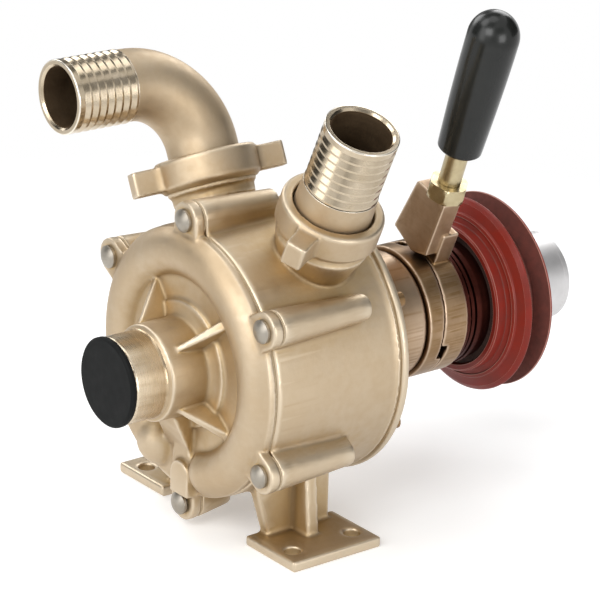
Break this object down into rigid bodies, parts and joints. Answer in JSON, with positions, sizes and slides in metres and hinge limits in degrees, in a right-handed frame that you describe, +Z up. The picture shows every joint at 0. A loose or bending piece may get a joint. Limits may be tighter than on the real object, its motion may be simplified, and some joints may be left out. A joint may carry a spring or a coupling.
{
  "type": "bilge pump",
  "caption": "Belt-driven bronze bilge pump: round casing with a side channel cover, two hose tails on union nuts, feet, and a V-pulley on a cone clutch worked by a hand lever.",
  "frame": {"origin": "centre of the foot bolt pattern, on the mounting surface", "axes": "+Z up, the shaft along Y with the front cover towards -Y and the pulley towards +Y, +X to the right seen from the front cover"},
  "size_m": [0.1679, 0.2883, 0.2662],
  "materials": {
    "cast_bronze": "satin",
    "machined_bronze": "satin",
    "stainless": "satin",
    "bearing_steel": "polished",
    "yellow_zinc": "satin",
    "grip_plastic": "gloss",
    "black_rubber": "matte",
    "gasket_fibre": "matte",
    "lining_fibre": "matte",
    "white_seat": "gloss",
    "bare_aluminium": "satin",
    "red_paint": "satin"
  },
  "bodies": {
    "pump_body": {"pump_casing": "cast_bronze", "front_cover": "cast_bronze", "cover_gasket": "gasket_fibre", "cover_bolts": "stainless", "bearing_cap": "black_rubber", "front_bearing_outer": "bearing_steel", "front_lip_seal": "black_rubber", "port_plate": "machined_bronze", "seal_seat": "white_seat", "bearing_bracket": "cast_bronze", "bracket_gasket": "gasket_fibre", "bracket_screws": "stainless", "rear_bearing_outer": "bearing_steel", "rear_lip_seal": "black_rubber", "rear_circlip": "bearing_steel", "fixed_cam_ring": "machined_bronze", "straight_hose_tail": "cast_bronze", "elbow_union_nut": "cast_bronze", "straight_union_nut": "cast_bronze", "union_gaskets": "gasket_fibre"},
    "elbow_tail": {"elbow_hose_tail": "cast_bronze"},
    "shaft": {"pump_shaft": "stainless", "star_impeller": "machined_bronze", "impeller_key": "bearing_steel", "impeller_circlips": "bearing_steel", "front_bearing_inner": "bearing_steel", "front_bearing_balls": "bearing_steel", "rear_bearing_inner": "bearing_steel", "rear_bearing_balls": "bearing_steel", "seal_head": "black_rubber", "seal_spring": "stainless", "clutch_key": "bearing_steel", "return_spring": "stainless", "spring_washer": "bearing_steel", "shaft_circlips": "bearing_steel", "pulley_bearing_inners": "bearing_steel", "pulley_bearing_balls": "bearing_steel", "bearing_spacer": "bearing_steel"},
    "thrust_collar": {"thrust_sleeve": "bearing_steel", "thrust_balls": "bearing_steel", "thrust_cage": "machined_bronze"},
    "lever": {"lever_cam_ring": "machined_bronze", "lever_rod": "yellow_zinc", "lever_lock_nut": "yellow_zinc", "lever_grip": "grip_plastic", "grip_pin": "grip_plastic"},
    "clutch": {"thrust_washer": "bearing_steel", "clutch_cone": "bare_aluminium", "clutch_lining": "lining_fibre"},
    "pulley": {"v_pulley": "red_paint", "pulley_hub": "bare_aluminium", "pulley_hub_screws": "stainless", "pulley_bearing_outers": "bearing_steel", "hub_cap": "bare_aluminium"}
  },
  "joints": [
    {"name": "shaft_spin", "type": "hinge", "parent": "pump_body", "child": "shaft", "pos_m": [0, 0, 0.09], "axis": [0, 1, 0], "continuous": true},
    {"name": "thrust_slide", "type": "slide", "parent": "pump_body", "child": "thrust_collar", "axis": [0, 1, 0], "range_m": [0, 0.0024]},
    {"name": "lever_swing", "type": "hinge", "parent": "thrust_collar", "child": "lever", "pos_m": [0, 0.107, 0.09], "axis": [0, -1, 0], "range_deg": [0, 60]},
    {"name": "clutch_slide", "type": "slide", "parent": "shaft", "child": "clutch", "axis": [0, 1, 0], "range_m": [0, 0.0024], "deforming": ["return_spring"]},
    {"name": "pulley_spin", "type": "hinge", "parent": "shaft", "child": "pulley", "pos_m": [0, 0.152, 0.09], "axis": [0, 1, 0], "continuous": true},
    {"name": "elbow_swivel", "type": "hinge", "parent": "pump_body", "child": "elbow_tail", "pos_m": [-0.04057, 0.0008, 0.17701], "axis": [-0.4226, 0, 0.9063], "continuous": true}
  ],
  "couplings": [
    {"joint": "thrust_slide", "follows": "lever_swing", "m_per_rad": 0.0022918},
    {"joint": "clutch_slide", "follows": "lever_swing", "m_per_rad": 0.0022918}
  ]
}
